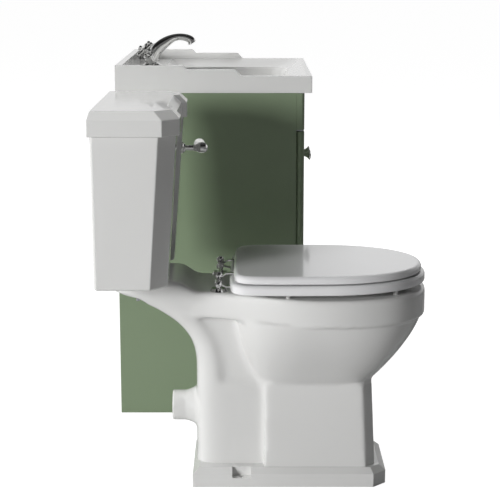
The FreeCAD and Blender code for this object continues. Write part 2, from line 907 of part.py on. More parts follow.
def toilet_cover():
    """The seat lid, with a domed edge."""
    low = seat_z + seat_t + cover_gap
    lid = smooth_slab(toilet_x, seat_plan(cover_inset), low, low + cover_t)
    lid = rounded(lid, 9.0, lambda edge: level(edge, low + cover_t))
    lid = rounded(lid, 3.0, lambda edge: level(edge, low))
    pockets = [strap_pocket(side * cover_strap_x(), low - 1, low + strap_t) for side in (-1, 1)]
    return lid.cut(pockets)


def strap(x, plate_z):
    """A barrel on the hinge rod and a bent arm that ends in a plate under its panel."""
    start = at(toilet_x, x - strap_w / 2, hinge_d, hinge_z)
    barrel = rod(start, RIGHT, hinge_barrel_r, strap_w)
    end_d = hinge_d + strap_len + 24
    bend_d = hinge_d + 16
    top = plate_z + strap_t
    lift = 0.0 if abs(top - hinge_z) < hinge_barrel_r else math.copysign(3.0, top - hinge_z)
    points = [
        (hinge_d, hinge_z + lift - 2),
        (bend_d, plate_z),
        (end_d, plate_z),
        (end_d, top),
        (bend_d, top),
        (hinge_d, hinge_z + lift + 2),
    ]
    arm = side_cut(toilet_x, points, x - strap_w / 2, x + strap_w / 2)
    return barrel.fuse(arm).cut(rod(start, RIGHT, hinge_rod_r + run, strap_w))


def straps(x, plate_z):
    return [strap(side * x, plate_z) for side in (-1, 1)]


def hinge_posts():
    """Ball-topped posts on round base plates, bored for the rod, each with a stud into the pan."""
    posts = []
    for side in (-1, 1):
        x = side * hinge_x
        base_at = at(toilet_x, x, hinge_d, rim_z)
        base = Part.makeCone(post_base_r, post_base_r - 3, post_base_h, base_at, UP)
        stem = rod(base_at, UP, post_stem_r, hinge_z - rim_z)
        eye = rod(at(toilet_x, x - post_w / 2, hinge_d, hinge_z), RIGHT, hinge_barrel_r + 1, post_w)
        top_z = hinge_z + hinge_barrel_r + finial_lift
        finial = Part.makeSphere(finial_r, at(toilet_x, x, hinge_d, top_z))
        post = joined(base, [stem, eye, finial])
        relief_r = hinge_barrel_r + 5
        for clear_x in (x - post_w / 2 - strap_w - 2 * gap, x + post_w / 2):
            relief = rod(at(toilet_x, clear_x, hinge_d, hinge_z), RIGHT, relief_r, strap_w + 2 * gap)
            post = post.cut(relief)
        post = post.cut(rod(at(toilet_x, x - post_w, hinge_d, hinge_z), RIGHT, hinge_rod_r, 2 * post_w))
        posts.append(post.fuse(rod(base_at, DOWN, stud_r, stud_len)))
    return posts


def hinge_rod():
    half = seat_strap_x() + strap_w / 2 + gap
    end = half + hinge_barrel_r
    shaft = rod(at(toilet_x, -end, hinge_d, hinge_z), RIGHT, hinge_rod_r, 2 * end)
    ends = [at(toilet_x, side * end, hinge_d, hinge_z) for side in (-1, 1)]
    return shaft.multiFuse([Part.makeSphere(hinge_barrel_r, place) for place in ends])


def buffers(stations, z_low, z_high):
    """Round rubber pads in pairs under a panel."""
    pads = []
    for x, d in stations:
        for side in (-1, 1):
            pads.append(rod(at(toilet_x, side * x, d, z_low), UP, buffer_r, z_high - z_low))
    return pads


# Vanity cabinet


def side_panel(side):
    low = cabinet_hw - board if side > 0 else -cabinet_hw
    return block(vanity_x, low, low + board, 0, carcass_d, 0, cabinet_h)


def base_panel():
    inner = cabinet_hw - board
    return block(vanity_x, -inner, inner, back_set, carcass_d, door_low_z, door_low_z + board)


def plinth_board():
    inner = cabinet_hw - board
    return block(vanity_x, -inner, inner, carcass_d - 2 * board, carcass_d - board, 0, door_low_z)


def back_panel():
    """Back board with a cut-out for the water and waste pipes."""
    inner = cabinet_hw - board
    low = door_low_z + board
    sheet = block(vanity_x, -inner, inner, back_set, back_set + back_t, low, cabinet_h)
    half = inner - pipe_side
    deep = back_set + back_t
    return sheet.cut(block(vanity_x, -half, half, 0, deep, low + pipe_low, cabinet_h - pipe_top))


def hanging_rail():
    inner = cabinet_hw - board
    deep = back_set + back_t
    half = rail_h / 2
    rail = block(vanity_x, -inner, inner, deep, deep + board, hang_z - half, hang_z + half)
    return rail.cut(hanging_holes())


def hanging_holes():
    deep = back_set + back_t + board
    return [rod(at(vanity_x, side * hang_x, 0, hang_z), FRONT, hang_r, deep) for side in (-1, 1)]


def front_rail():
    inner = cabinet_hw - board
    return block(vanity_x, -inner, inner, carcass_d - board, carcass_d, fascia_z, fascia_z + front_rail_h)


def framed_front(x_low, x_high, d_back, z_low, z_high):
    """A front with a raised border round a sunk panel."""
    front = block(vanity_x, x_low, x_high, d_back, door_front_d, z_low, z_high)
    border = min(stile_w, (z_high - z_low) * 0.3)
    panel = block(vanity_x, x_low + border, x_high - border, door_front_d - panel_recess, door_front_d + 1,
                  z_low + border, z_high - border)
    return front.cut(panel)


def fascia():
    """The fixed front above the doors, with the same round edge as theirs."""
    front = framed_front(-cabinet_hw, cabinet_hw, carcass_d, fascia_z, cabinet_h - loose)
    face_y = wall_y - door_front_d + 0.01
    return rounded(front, door_t / 2 - run, lambda edge: outer_edge(edge) and edge.BoundBox.YMin < face_y)


def outer_edge(edge):
    """An upright edge at either side of the cabinet."""
    return upright(edge) and abs(abs(edge.BoundBox.XMin - vanity_x) - cabinet_hw) < 0.01


def pivot_at(side, z):
    return at(vanity_x, side * (cabinet_hw - door_t / 2), door_back_d + door_t / 2, z)


def door(side):
    """A framed door with a round hinge edge, bored top and bottom for its pivot pins."""
    half = reveal / 2
    x_low = half if side > 0 else -cabinet_hw
    top = fascia_z - reveal
    leaf = framed_front(x_low, x_low + cabinet_hw - half, door_back_d, door_low_z, top)
    leaf = rounded(leaf, door_t / 2 - run, outer_edge)
    low_bore = rod(pivot_at(side, door_low_z), UP, pivot_r + run, pivot_len + loose)
    top_bore = rod(pivot_at(side, top), DOWN, pivot_r + run, pivot_len + loose)
    return leaf.cut([low_bore, top_bore])


def pivot_plates():
    """Steel plates that carry the door pins, below the base panel and below the front rail."""
    plates = []
    for side in (-1, 1):
        outer = cabinet_hw - board
        x_low = outer - 30 if side > 0 else -cabinet_hw + 3
        x_high = x_low + 27 + board
        for z, way in ((door_low_z - plate_t, UP), (fascia_z - plate_t, DOWN)):
            plate = block(vanity_x, x_low, x_high, carcass_d, door_front_d - 2, z, z + plate_t)
            inner_low = x_low if side > 0 else -outer
            tongue = block(vanity_x, inner_low, inner_low + 27, carcass_d - 17, carcass_d, z, z + plate_t)
            pin_z = z + plate_t if way is UP else z
            length = pivot_len if way is UP else pivot_len + reveal - plate_t
            pin = rod(pivot_at(side, pin_z), way, pivot_r, length)
            plates.append(joined(plate, [tongue, pin]))
    return plates


def knob(side):
    """A bell-shaped knob on a slim neck."""
    points = [
        (0, 0),
        (6.5, 0),
        (6.5, 2),
        (4.5, 4),
        (4.2, 10),
        (6, 15),
        (9.5, 20),
        (knob_r, knob_reach - 5),
        (knob_r, knob_reach - 3.5),
        (9, knob_reach - 1),
        (0, knob_reach),
    ]
    return turned(at(vanity_x, side * knob_x, door_front_d, knob_z), FRONT, points)


def shelf():
    inner = cabinet_hw - board - loose
    return block(vanity_x, -inner, inner, back_set + back_t + 10, carcass_d - 40, shelf_z, shelf_z + board)


def shelf_pins():
    """Four pegs let into the side panels."""
    pins = []
    for side in (-1, 1):
        for d in (shelf_pin_back, carcass_d - shelf_pin_front):
            start = at(vanity_x, side * (cabinet_hw - board + 8), d, shelf_z - shelf_pin_r)
            pins.append(rod(start, Vector(-side, 0, 0), shelf_pin_r, 18))
    return pins


# Basin


def round_rect(hw, back, front, r, z):
    """A closed wire in plan with straight sides and arcs at the four corners."""
    hook = r * 0.293
    plan = [
        (-hw + r, back), (hw - r, back), (hw - hook, back + hook), (hw, back + r),
        (hw, front - r), (hw - hook, front - hook), (hw - r, front), (-hw + r, front),
        (-hw + hook, front - hook), (-hw, front - r), (-hw, back + r), (-hw + hook, back + hook),
    ]
    p = [at(vanity_x, x, d, z) for x, d in plan]
    edges = []
    for i in range(0, 12, 3):
        edges.append(Part.LineSegment(p[i], p[i + 1]).toShape())
        edges.append(Part.Arc(p[i + 1], p[i + 2], p[(i + 3) % 12]).toShape())
    return Part.Wire(edges)


def bowl_wire(inset, share, z):
    """Outline of the bowl, drawn in towards the bottom."""
    draw = bowl_slope * share + inset
    return round_rect(bowl_x - draw, bowl_back_d + draw * 0.9, bowl_front_d - draw * 0.9, bowl_corner, z)


def bowl_solid(inset):
    wires = [bowl_wire(inset, 1.0, bowl_low_z + inset), bowl_wire(inset, 0.0, bowl_top_z)]
    return Part.makeLoft(wires, True, True)


def dish_solid():
    """The shallow fall from the lip of the basin to the edge of the bowl."""
    inner = basin_w / 2 - upstand_t
    lip = round_rect(inner, dish_back_d, basin_d - dish_lip, dish_corner, rim_level)
    return Part.makeLoft([bowl_wire(0.0, 0.0, bowl_top_z), lip], True, True)


def step_profile():
    """Side view of the basin: slab with two curved steps up to the back."""
    top = rim_level + upstand
    mid = rim_level + mid_step
    x = -basin_w / 2
    corners = [(0, cabinet_h), (basin_d, cabinet_h), (basin_d, rim_level)]
    corners.append((front_step_d + front_step_run, rim_level))
    edges = Part.makePolygon([at(vanity_x, x, d, z) for d, z in corners]).Edges
    edges.append(ogee(x, front_step_d + front_step_run, rim_level, front_step_d - front_step_run, mid))
    tread = [(front_step_d - front_step_run, mid), (back_step_d + back_step_run, mid)]
    edges.extend(Part.makePolygon([at(vanity_x, x, d, z) for d, z in tread]).Edges)
    edges.append(ogee(x, back_step_d + back_step_run, mid, back_step_d - back_step_run, top))
    last = [(back_step_d - back_step_run, top), (0, top), (0, cabinet_h)]
    edges.extend(Part.makePolygon([at(vanity_x, x, d, z) for d, z in last]).Edges)
    return Part.Face(Part.Wire(edges))


def ogee(x, d_start, z_start, d_end, z_end):
    half = (d_start + d_end) / 2
    curve = Part.BezierCurve()
    poles = [(d_start, z_start), (half, z_start), (half, z_end), (d_end, z_end)]
    curve.setPoles([at(vanity_x, x, d, z) for d, z in poles])
    return curve.toShape()


def basin():
    body = step_profile().extrude(Vector(basin_w, 0, 0))
    inner = basin_w / 2 - upstand_t
    body = body.cut(block(vanity_x, -inner, inner, upstand_t, basin_d, rim_level, rim_level + 2 * upstand))
    body = body.fuse(bowl_solid(-bowl_wall)).removeSplitter()
    cavity = rounded(bowl_solid(0.0), 16.0, lambda edge: level(edge, bowl_low_z))
    cuts = [cavity, dish_solid()]
    cuts.append(rod(at(vanity_x, 0, waste_d, bowl_low_z), DOWN, waste_r + gap, 2 * bowl_wall))
    cuts.append(rod(at(vanity_x, 0, waste_d, bowl_low_z), DOWN, waste_flange_r + gap, 3))
    cuts.append(overflow_bore(overflow_r + run, -1, bowl_wall + 12))
    cuts.append(rod(at(vanity_x, 0, tap_d, cabinet_h), UP, 16, slab_h))
    under = block(vanity_x, -40, 40, tap_d - 36, tap_d + 34, cabinet_h, rim_level - 14)
    cuts.append(under)
    body = body.cut(cuts)
    return rounded(body, basin_round, basin_edge)


def basin_edge(edge):
    """Outer upright corners and the outer top edges of the slab."""
    box = edge.BoundBox
    half = basin_w / 2 - 0.01
    on_side = abs(abs(box.XMin - vanity_x) - basin_w / 2) < 0.01 and box.XLength < 0.01
    front = wall_y - basin_d
    on_front = abs(box.YMin - front) < 0.01 and box.YLength < 0.01
    top_side = on_side and box.ZMin > rim_level - 0.1
    top_front = on_front and box.ZMin > rim_level - 0.1 and box.XLength > half
    corner = on_side and on_front
    return top_side or top_front or corner


def overflow_bore(radius, start, length):
    """A round hole square to the sloping back wall of the bowl."""
    fall = bowl_slope * 0.9 / (bowl_depth - dish_depth)
    lean = math.atan(fall)
    way = Vector(0, math.cos(lean), -math.sin(lean))
    mouth = at(vanity_x, 0, bowl_back_d + fall * overflow_drop, bowl_top_z - overflow_drop)
    return rod(mouth + way * start, way, radius, length)


def overflow_ring():
    ring_body = overflow_bore(overflow_r, -1, 7)
    collar = overflow_bore(overflow_r + 4, -2.5, 2.5)
    return ring_body.fuse(collar).cut(overflow_bore(overflow_r - 3, -5, 20))


def waste_body():
    """Flanged waste that drops through the bowl, with a bar inside that guides the plug stem."""
    base = at(vanity_x, 0, waste_d, bowl_low_z)
    flange = rod(base, DOWN, waste_flange_r, 3)
    tube = rod(base, DOWN, waste_r, waste_len)
    tube = flange.fuse(tube).cut(rod(base + UP, DOWN, waste_r - 4, waste_len + 2))
    bar_z = bowl_low_z - 46
    bar = block(vanity_x, 1 - waste_r, waste_r - 1, waste_d - 3, waste_d + 3, bar_z, bar_z + 6)
    hub = rod(base + DOWN * 40, DOWN, 7, 14)
    return joined(tube, [bar, hub]).cut(rod(base, DOWN, 3 + run, 60))


def waste_plug():
    base = at(vanity_x, 0, waste_d, bowl_low_z)
    points = [(0, 7), (plug_r - 6, 5.5), (plug_r, 2.5), (plug_r, gap), (3, gap), (3, -52), (0, -52)]
    return turned(base, UP, points)


def waste_nut():
    seat = at(vanity_x, 0, waste_d, bowl_low_z - bowl_wall)
    seal = rod(seat, DOWN, waste_r + 9, 4).cut(rod(seat, DOWN, waste_r, 4))
    lower = seat + DOWN * 4
    nut = rod(lower, DOWN, waste_r + 8, 9).cut(rod(lower, DOWN, waste_r, 9))
    return seal, nut


def trap():
    """Bottle trap: inlet nut, bottle and the outlet pipe to the wall."""
    top = bowl_low_z - waste_len
    centre = at(vanity_x, 0, waste_d, top)
    nut = rod(centre + UP * 12, DOWN, waste_r + 7, 26)
    nut = nut.cut([rod(centre + UP * 13, DOWN, waste_r, 13), rod(centre, DOWN, waste_r - 5, 30)])
    points = [
        (waste_r - 5, -14),
        (trap_r, -14),
        (trap_r, -trap_h),
        (trap_r - 8, -trap_h - 14),
        (0, -trap_h - 14),
        (0, -trap_h - 6),
        (waste_r - 5, -trap_h),
    ]
    bottle = turned(centre, UP, points)
    out_z = top - 44
    mouth_d = waste_d - trap_r - 22
    tip_r = pipe_r - 0.5
    tip_end_d = mouth_d + 20
    socket = rod(at(vanity_x, 0, waste_d - trap_r + 4, out_z), BACK, pipe_r + 7, 26)
    inner = rod(at(vanity_x, 0, waste_d, out_z), BACK, pipe_r - 2, waste_d - mouth_d)
    bottle = bottle.fuse(socket).cut([inner, rod(at(vanity_x, 0, tip_end_d, out_z), BACK, tip_r, 30)])
    tip = rod(at(vanity_x, 0, tip_end_d, out_z), BACK, tip_r, tip_end_d - mouth_d)
    pipe = rod(at(vanity_x, 0, mouth_d, out_z), BACK, pipe_r, mouth_d - pipe_end_d)
    pipe = pipe.fuse(tip).cut(rod(at(vanity_x, 0, tip_end_d + 1, out_z), BACK, pipe_r - 2, tip_end_d + 2))
    return nut, bottle, pipe


# Tap


def spout_path():
    """Centre line and radius of the spout, as shares of its reach, its rise and its root radius."""
    shares = [
        (0.0, 0.132, 0.91),
        (0.038, 0.344, 1.0),
        (0.135, 0.583, 0.94),
        (0.284, 0.766, 0.85),
        (0.462, 0.920, 0.655),
        (0.674, 1.0, 0.52),
        (0.840, 0.978, 0.545),
        (0.952, 0.912, 0.606),
        (1.0, 0.795, 0.65),
    ]
    stations = []
    for along, up, girth in shares:
        stations.append((tap_d + spout_reach * along, rim_level + spout_rise * up, spout_base_r * girth))
    return stations


def tap_spout():
    """Swan-neck spout, thick at the root and slim at the crown."""
    stations = spout_path()
    wires = []
    for i, (d, z, radius) in enumerate(stations):
        before = stations[max(i - 1, 0)]
        after = stations[min(i + 1, len(stations) - 1)]
        way = UP if i == 0 else Vector(0, before[0] - after[0], after[1] - before[1])
        circle = Part.makeCircle(radius, at(vanity_x, 0, d, z), way)
        wires.append(Part.Wire([circle]))
    return Part.makeLoft(wires, True, False)


def spout_tip():
    stations = spout_path()
    d, z, radius = stations[-1]
    before = stations[-2]
    way = Vector(0, before[0] - d, z - before[1])
    way.normalize()
    return at(vanity_x, 0, d, z), way, radius


def spout_nozzle():
    tip, way, radius = spout_tip()
    nozzle = rod(tip - way * 5, way, radius - 2.5, 6)
    return nozzle.cut(rod(tip - way * 6, way, radius - 4.5, 9))


def valve_way(side):
    """The valves stand up from their elbows, leaning back and a little outwards."""
    rise = math.sqrt(1 - valve_splay ** 2 - valve_lean ** 2)
    return Vector(side * valve_splay, valve_lean, rise)


def elbow_at(side):
    return hub_at() + Vector(side * elbow_x, 0, 0)


def hub_at():
    return at(vanity_x, 0, tap_d, rim_level + tap_hub_z)


def tap_body():
    """Flared foot, round hub and two elbows with valve seats, in one casting with the spout."""
    base = at(vanity_x, 0, tap_d, rim_level)
    points = [
        (0, 0),
        (tap_base_r, 0),
        (tap_base_r, 4),
        (tap_base_r - 6, 8),
        (tap_base_r - 7, tap_hub_z - 6),
        (tap_base_r - 5, tap_hub_z),
        (tap_base_r - 8, tap_hub_z + 9),
        (tap_base_r - 9, tap_hub_z + 14),
        (0, tap_hub_z + 14),
    ]
    foot = turned(base, UP, points)
    parts = [tap_spout()]
    for side in (-1, 1):
        parts.append(rod(hub_at(), Vector(side, 0, 0), valve_body_r, elbow_x))
        parts.append(Part.makeSphere(valve_body_r, elbow_at(side)))
        parts.append(rod(elbow_at(side), valve_way(side), valve_body_r, valve_len - 14))
    body = joined(foot, parts)
    tip, way, radius = spout_tip()
    cuts = [rod(tip - way * 5, way, radius - 2.5, 12)]
    for side in (-1, 1):
        cuts.append(rod(elbow_at(side) + valve_way(side) * (valve_len - 30), valve_way(side), 5 + run, 40))
    return body.cut(cuts)


def valve_bonnet(side):
    """Chromed skirt over the valve, bored for the handle stem."""
    start = elbow_at(side) + valve_way(side) * (valve_len - 14)
    points = [
        (5 + run, 0),
        (valve_body_r + 2.5, 0),
        (valve_body_r + 2.5, 3),
        (valve_body_r, 5),
        (valve_body_r - 2, 11),
        (5 + run, 11),
    ]
    return turned(start, valve_way(side), points)


def cross_handle(side):
    """Four arms with ball ends on a domed hub, and the stem that turns in the valve."""
    way = valve_way(side)
    centre = elbow_at(side) + way * (valve_len + 8)
    stem_start = elbow_at(side) + way * (valve_len - 28)
    stem = rod(stem_start, way, 5, 36)
    points = [(0, -10), (7.5, -10), (6.5, -6), (8.5, -3), (8.5, 4), (6, 7), (0, 8)]
    hub = turned(centre, way, points)
    level_way = way.cross(RIGHT)
    level_way.normalize()
    across = way.cross(level_way)
    parts = [hub]
    for i in range(4):
        turn = math.radians(arm_turn + 90 * i)
        direction = level_way * math.cos(turn) + across * math.sin(turn)
        parts.append(rod(centre, direction, arm_r, cross_r))
        parts.append(Part.makeSphere(ball_r, centre + direction * cross_r))
    return joined(stem, parts)


def handle_cap(side):
    """White ceramic button let into the handle hub."""
    way = valve_way(side)
    centre = elbow_at(side) + way * (valve_len + 8)
    return turned(centre + way * 8, way, [(0, 0), (5.5, 0), (4.5, 1.6), (0, 2.4)])


def tap_fixing():
    """Seal on the deck hole, threaded stud, horseshoe plate and nut below the basin."""
    deck_low = rim_level - 14
    centre = at(vanity_x, 0, tap_d, deck_low)
    mouth = block(vanity_x, -30, 2, tap_d - 6, tap_d + 6, deck_low - 3, deck_low)
    plate = rod(centre, DOWN, 22, 3).cut(rod(centre, DOWN, 15, 3).fuse(mouth))
    tab = block(vanity_x, stud_x - 5, 22, tap_d - 7, tap_d + 7, deck_low - 3, deck_low)
    plate = plate.fuse(tab.common(rod(centre, DOWN, 22, 3)))
    stud_start = at(vanity_x, stud_x, tap_d, rim_level)
    plate = plate.cut(rod(stud_start, DOWN, 3, 40))
    stud = rod(stud_start, DOWN, 3, 34)
    nut_seat = at(vanity_x, stud_x, tap_d, deck_low - 3)
    nut = rod(nut_seat, DOWN, 6, 6).cut(rod(nut_seat, DOWN, 3, 6))
    return plate, stud, nut


def tap_tails():
    tails = []
    for step in (-1, 1):
        start = at(vanity_x, -tail_x / 2 + 1, tap_d + step * 8, rim_level)
        tails.append(rod(start, DOWN, tail_r, 60))
    return tails


def build_toilet():
    save("toilet_pan", toilet_pan())
    save("cistern_body", cistern_body())
    save("cistern_lid", cistern_lid())
    save("flush_seal", flush_seal())
    bolts, washers, nuts = coupling_bolts()
    save("coupling_bolts", *bolts, *nuts)
    save("coupling_washers", *washers)
    save("flush_siphon", flush_siphon())
    save("lift_rod", lift_rod())
    save("fill_valve", fill_valve())
    save("inlet_nut", inlet_nut())
    save("float_cup", float_cup())
    save("lever_rosette", lever_rosette())
    save("lever_bush", lever_bush())
    save("lever_spindle", lever_spindle())
    save("flush_lever", flush_lever())
    save("lever_grip", lever_grip())
    save("inner_arm", inner_arm())
    save("toilet_seat", toilet_seat())
    save("toilet_cover", toilet_cover())
    cover_low = seat_z + seat_t + cover_gap
    save("seat_straps", *straps(seat_strap_x(), seat_z))
    save("cover_straps", *straps(cover_strap_x(), cover_low))
    save("hinge_posts", *hinge_posts())
    save("hinge_rod", hinge_rod())
    save("seat_buffers", *buffers(seat_pads, rim_z, seat_z))
    save("cover_buffers", *buffers(cover_pads, seat_z + seat_t, cover_low))


def build_vanity():
    save("side_panel_left", side_panel(-1).cut(shelf_pins()))
    save("side_panel_right", side_panel(1).cut(shelf_pins()))
    save("base_panel", base_panel())
    save("plinth_board", plinth_board())
    save("back_panel", back_panel().cut(hanging_holes()))
    save("hanging_rail", hanging_rail())
    save("front_rail", front_rail())
    save("fascia", fascia())
    save("door_left", door(-1))
    save("door_right", door(1))
    save("pivot_plates", *pivot_plates())
    save("knob_left", knob(-1))
    save("knob_right", knob(1))
    save("shelf", shelf())
    save("shelf_pins", *shelf_pins())
    save("basin", basin())
    save("overflow_ring", overflow_ring())
    save("waste_body", waste_body())
    save("waste_plug", waste_plug())
    seal, nut = waste_nut()
    save("waste_seal", seal)
    save("waste_nut", nut)
    trap_nut, bottle, pipe = trap()
    save("trap_nut", trap_nut)
    save("trap_bottle", bottle)
    save("trap_pipe", pipe)


def build_tap():
    save("tap_body", tap_body())
    save("spout_nozzle", spout_nozzle())
    save("valve_bonnets", valve_bonnet(-1), valve_bonnet(1))
    save("hot_handle", cross_handle(-1))
    save("cold_handle", cross_handle(1))
    save("hot_cap", handle_cap(-1))
    save("cold_cap", handle_cap(1))
    plate, stud, nut = tap_fixing()
    save("tap_plate", plate)
    save("tap_stud", stud, nut)
    save("tap_tails", *tap_tails())


os.makedirs("parts", exist_ok=True)
build_toilet()
build_vanity()
build_tap()
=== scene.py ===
# %% [markdown]
# # A toilet and a vanity, dressed for the studio
# The measured model comes in first and stays as it is. Everything after that dresses it: softer
# edges where fired china and painted board have them, and finishes that read the right way in light.

# %% Load the measured model
import json
import math

import bpy
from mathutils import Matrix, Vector


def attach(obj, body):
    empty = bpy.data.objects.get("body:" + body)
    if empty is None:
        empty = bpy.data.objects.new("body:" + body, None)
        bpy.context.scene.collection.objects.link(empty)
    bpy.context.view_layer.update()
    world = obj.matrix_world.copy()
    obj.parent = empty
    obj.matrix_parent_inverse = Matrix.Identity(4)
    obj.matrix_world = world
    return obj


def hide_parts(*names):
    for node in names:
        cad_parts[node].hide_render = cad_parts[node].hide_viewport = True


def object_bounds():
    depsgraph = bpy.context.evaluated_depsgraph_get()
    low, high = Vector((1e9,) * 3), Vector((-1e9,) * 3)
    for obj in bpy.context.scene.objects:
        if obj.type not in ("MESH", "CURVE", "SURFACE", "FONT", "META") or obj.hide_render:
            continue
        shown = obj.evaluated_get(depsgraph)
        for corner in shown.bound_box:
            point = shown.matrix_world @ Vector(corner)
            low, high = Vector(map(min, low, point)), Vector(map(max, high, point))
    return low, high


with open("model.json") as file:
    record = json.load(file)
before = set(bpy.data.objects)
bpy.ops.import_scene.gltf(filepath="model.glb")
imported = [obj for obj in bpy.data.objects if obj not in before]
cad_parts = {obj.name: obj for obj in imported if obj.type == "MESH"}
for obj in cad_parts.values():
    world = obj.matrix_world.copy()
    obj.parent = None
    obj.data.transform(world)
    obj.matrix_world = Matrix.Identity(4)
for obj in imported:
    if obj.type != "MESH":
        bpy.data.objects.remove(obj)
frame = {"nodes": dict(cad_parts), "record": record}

cad_low, cad_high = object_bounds()
nodes = frame["nodes"]
node_body = {}
for body_name, members in frame["record"]["behaviour"]["bodies"].items():
    for member in members:
        node_body[member] = body_name
print("pieces in the model:", len(nodes), "size:", [round(v, 3) for v in cad_high - cad_low])

# %% [markdown]
# ## The camera
# The picture was taken from the toilet's side with a long lens, a little above the basin. A long lens
# a few metres away keeps upright edges nearly parallel. A camera could be aimed at a target, but its
# place and tilt are known here, so they are set as plain numbers. A new camera looks straight down: a
# quarter turn less the tilt brings it up, and a second quarter turn faces it along x.

# %% Set the camera
camera_place = Vector((-3.355, 0.0275, 1.121))
camera_tilt = math.radians(11.84)
quarter_turn = math.radians(90.0)
focal_pixels = 1410.0
picture_pixels = 500.0
sensor_mm = 36.0
view_reach = 400.0

bpy.ops.object.select_all(action="DESELECT")
bpy.ops.object.camera_add(
    location=camera_place,
    rotation=(quarter_turn - camera_tilt, 0.0, -quarter_turn),
)
camera = bpy.context.active_object
camera.name = "studio_camera"
camera.data.sensor_width = sensor_mm
camera.data.lens = sensor_mm * focal_pixels / picture_pixels
camera.data.clip_end = view_reach
bpy.context.scene.camera = camera
print("lens:", round(camera.data.lens, 1), "mm")

# %% [markdown]
# ## The floor
# A product shot on white needs a floor that stays white to the top of the frame, yet the china must
# not glow from below. A curved paper backdrop would need much more light to look white. So the floor is
# one wide plane, and its material tells the rays apart: the camera sees bright paper, and all other rays
# meet a darker one. That one darkens further in front of the set, as if a grey card lay there.

# %% Lay the floor
floor_size = 160.0
bpy.ops.object.select_all(action="DESELECT")
bpy.ops.mesh.primitive_plane_add(size=floor_size, location=(0.0, 0.0, 0.0))
floor = bpy.context.active_object
floor.name = "studio_floor"
print("floor:", floor_size, "m across")

# %% [markdown]
# A material is a tree of nodes. A socket that nothing is linked to holds a number or a colour, and links
# carry the rest. In a script each of these takes a long line, so three small helpers say it shortly. The
# sky and the finishes use them too.

# %% Write the helpers for nodes


def grey(shade):
    """The colour value of a plain grey, from 0 for black to 1 for white."""
    return (shade, shade, shade, 1.0)


def set_inputs(node, **values):
    """Set a node's sockets by name, with an underscore for each space in the name."""
    for socket_name, value in values.items():
        node.inputs[socket_name.replace("_", " ")].default_value = value


def wire(tree, *links):
    """Link nodes, each link written as a node, its output, the next node and its input."""
    for source, output, target, socket in links:
        tree.links.new(source.outputs[output], target.inputs[socket])


# %% Paint the floor
paper_glow = 0.97
paper_shade = 0.25
card_front_y, card_back_y = -0.7, 0.25
card_front_shade, card_back_shade = 0.45, 0.75

floor_paper = bpy.data.materials.new("floor_paper")
floor_paper.use_nodes = True
paper_tree = floor_paper.node_tree
paper_seen = paper_tree.nodes["Principled BSDF"]
set_inputs(paper_seen, Base_Color=grey(paper_shade), Roughness=1.0, Specular_IOR_Level=0.0)
set_inputs(paper_seen, Emission_Color=grey(1.0), Emission_Strength=paper_glow)
paper_lit = paper_tree.nodes.new("ShaderNodeBsdfDiffuse")
paper_place = paper_tree.nodes.new("ShaderNodeTexCoord")
paper_axes = paper_tree.nodes.new("ShaderNodeSeparateXYZ")
paper_card = paper_tree.nodes.new("ShaderNodeMapRange")
set_inputs(paper_card, From_Min=card_front_y, From_Max=card_back_y)
set_inputs(paper_card, To_Min=card_front_shade, To_Max=card_back_shade)
paper_rays = paper_tree.nodes.new("ShaderNodeLightPath")
paper_mix = paper_tree.nodes.new("ShaderNodeMixShader")
paper_out = paper_tree.nodes["Material Output"]
wire(
    paper_tree,
    (paper_place, "Object", paper_axes, "Vector"),
    (paper_axes, "Y", paper_card, "Value"),
    (paper_card, "Result", paper_lit, "Color"),
    (paper_rays, "Is Camera Ray", paper_mix, "Fac"),
    (paper_lit, "BSDF", paper_mix, 1),
    (paper_seen, "BSDF", paper_mix, 2),
    (paper_mix, "Shader", paper_out, "Surface"),
)
floor.data.materials.append(floor_paper)
print("floor glows", paper_glow, "for the camera")

# %% [markdown]
# ## The sky
# The camera has to see white above the floor too, but a white sky would light the china evenly from all
# sides and take its shape away. So the sky tells the rays apart as the floor does: white for the camera,
# a faint even fill for the shaded faces, and a studio for polished faces to mirror.

# %% Fill the sky
fill_strength = 0.07
scene = bpy.context.scene
scene.view_settings.view_transform = "Standard"
world = bpy.data.worlds.new("studio_sky")
scene.world = world
world.use_nodes = True
sky_tree = world.node_tree
sky_fill = sky_tree.nodes["Background"]
set_inputs(sky_fill, Color=grey(1.0), Strength=fill_strength)
sky_seen = sky_tree.nodes.new("ShaderNodeBackground")
set_inputs(sky_seen, Color=grey(1.0))
print("sky fill strength:", fill_strength)

# %% [markdown]
# Chrome and glaze show the room around them. A photographed room could be wrapped around the set, but a
# few bands are enough: white paper round the horizon, and above it a dark ceiling that is a little
# paler overhead. All of it is dimmer behind the camera than beyond the set.

# %% Build the studio that polished faces mirror
dim_x, bright_x = -0.35, 0.45
dim_strength, bright_strength = 0.15, 0.75
# Each band is a height, from 0 at the horizon to 1 straight up, and its shade.
paper_band, ceiling_band = (0.45, 1.0), (0.58, 0.05)
upper_bands = ((0.8, 0.05), (0.88, 0.15))

sky_mirror = sky_tree.nodes.new("ShaderNodeBackground")
sky_way = sky_tree.nodes.new("ShaderNodeTexCoord")
sky_axes = sky_tree.nodes.new("ShaderNodeSeparateXYZ")
sky_ramp = sky_tree.nodes.new("ShaderNodeMapRange")
set_inputs(sky_ramp, From_Min=dim_x, From_Max=bright_x, To_Min=dim_strength, To_Max=bright_strength)
sky_bands = sky_tree.nodes.new("ShaderNodeValToRGB")
bands = sky_bands.color_ramp.elements
for band, (height, shade) in zip(bands, (paper_band, ceiling_band)):
    band.position = height
    band.color = grey(shade)
for height, shade in upper_bands:
    bands.new(height).color = grey(shade)
wire(
    sky_tree,
    (sky_way, "Generated", sky_axes, "Vector"),
    (sky_axes, "X", sky_ramp, "Value"),
    (sky_axes, "Z", sky_bands, "Fac"),
    (sky_bands, "Color", sky_mirror, "Color"),
    (sky_ramp, "Result", sky_mirror, "Strength"),
)
